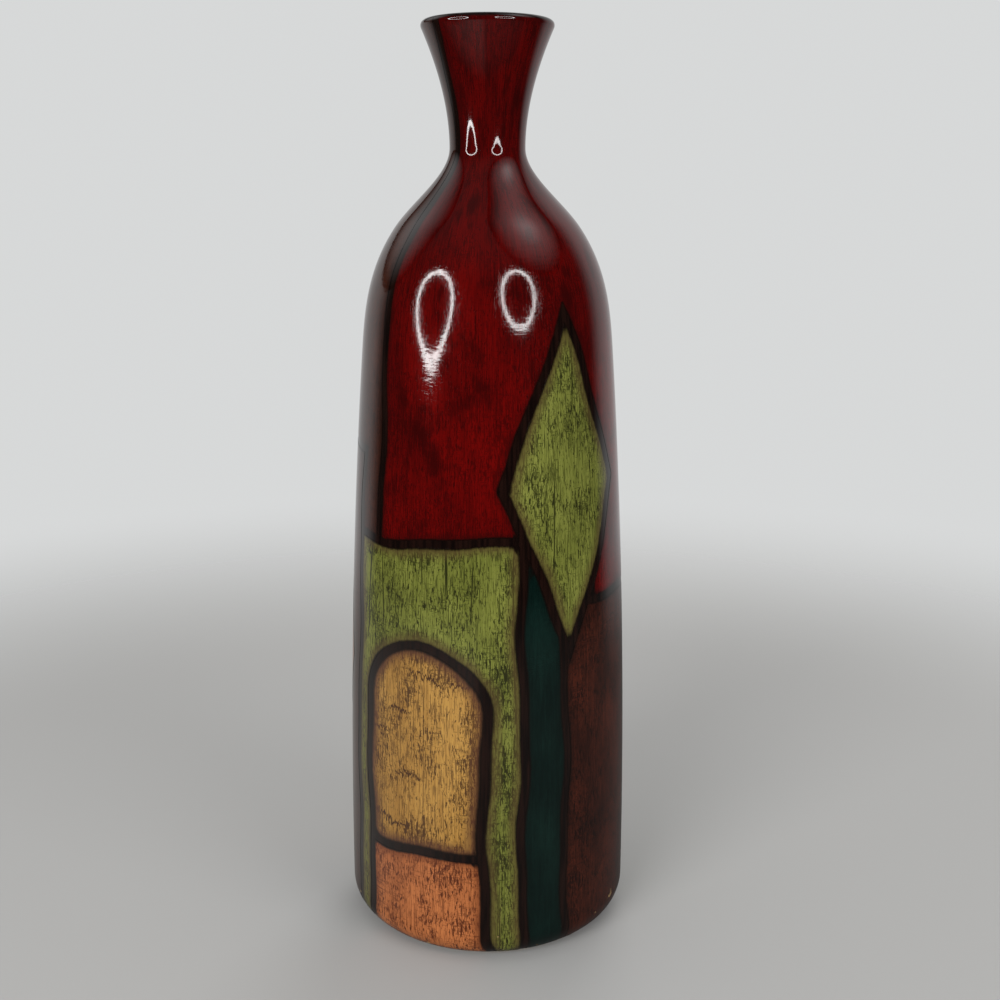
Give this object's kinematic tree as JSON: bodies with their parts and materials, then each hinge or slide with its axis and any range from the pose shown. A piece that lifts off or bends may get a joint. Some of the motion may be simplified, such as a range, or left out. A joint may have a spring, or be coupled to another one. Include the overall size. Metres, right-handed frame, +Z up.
{
  "type": "vase",
  "caption": "Tall hollow bottle vase with a narrow flared neck, painted in colour fields over a dark ground. It stands on a foot ring and holds stems and water.",
  "frame": {"origin": "centre of the foot ring, on the surface that the vase stands on", "axes": "+Z up the vase's axis; the front of the painting faces -Y; +X to the right seen from the front"},
  "size_m": [0.1126, 0.1126, 0.35],
  "materials": {
    "clay": "bare fired clay",
    "liner": "clear brown glaze",
    "ground": "dark umber paint under clear gloss varnish",
    "red_paint": "streaky brushed paint under clear gloss varnish",
    "green_paint": "streaky brushed paint under clear gloss varnish",
    "olive_paint": "streaky brushed paint under clear gloss varnish",
    "ochre_paint": "streaky brushed paint under clear gloss varnish",
    "orange_paint": "streaky brushed paint under clear gloss varnish",
    "teal_paint": "streaky brushed paint under clear gloss varnish",
    "brown_paint": "streaky brushed paint under clear gloss varnish",
    "rust_paint": "streaky brushed paint under clear gloss varnish"
  },
  "bodies": {
    "root": {"clay_body": "clay", "liner_glaze": "liner", "ground_coat": "ground", "red_yoke": "red_paint", "teal_yoke": "teal_paint", "brown_yoke": "brown_paint", "arch_panel": "green_paint", "ochre_arch": "ochre_paint", "orange_plinth": "orange_paint", "teal_strip": "teal_paint", "rust_panel": "rust_paint", "green_lozenge": "green_paint", "green_strip": "green_paint", "olive_panel": "olive_paint", "back_panel": "rust_paint", "green_arch": "green_paint", "ochre_block": "ochre_paint", "olive_block": "olive_paint", "side_panel": "brown_paint", "orange_lozenge": "orange_paint"}
  },
  "joints": []
}
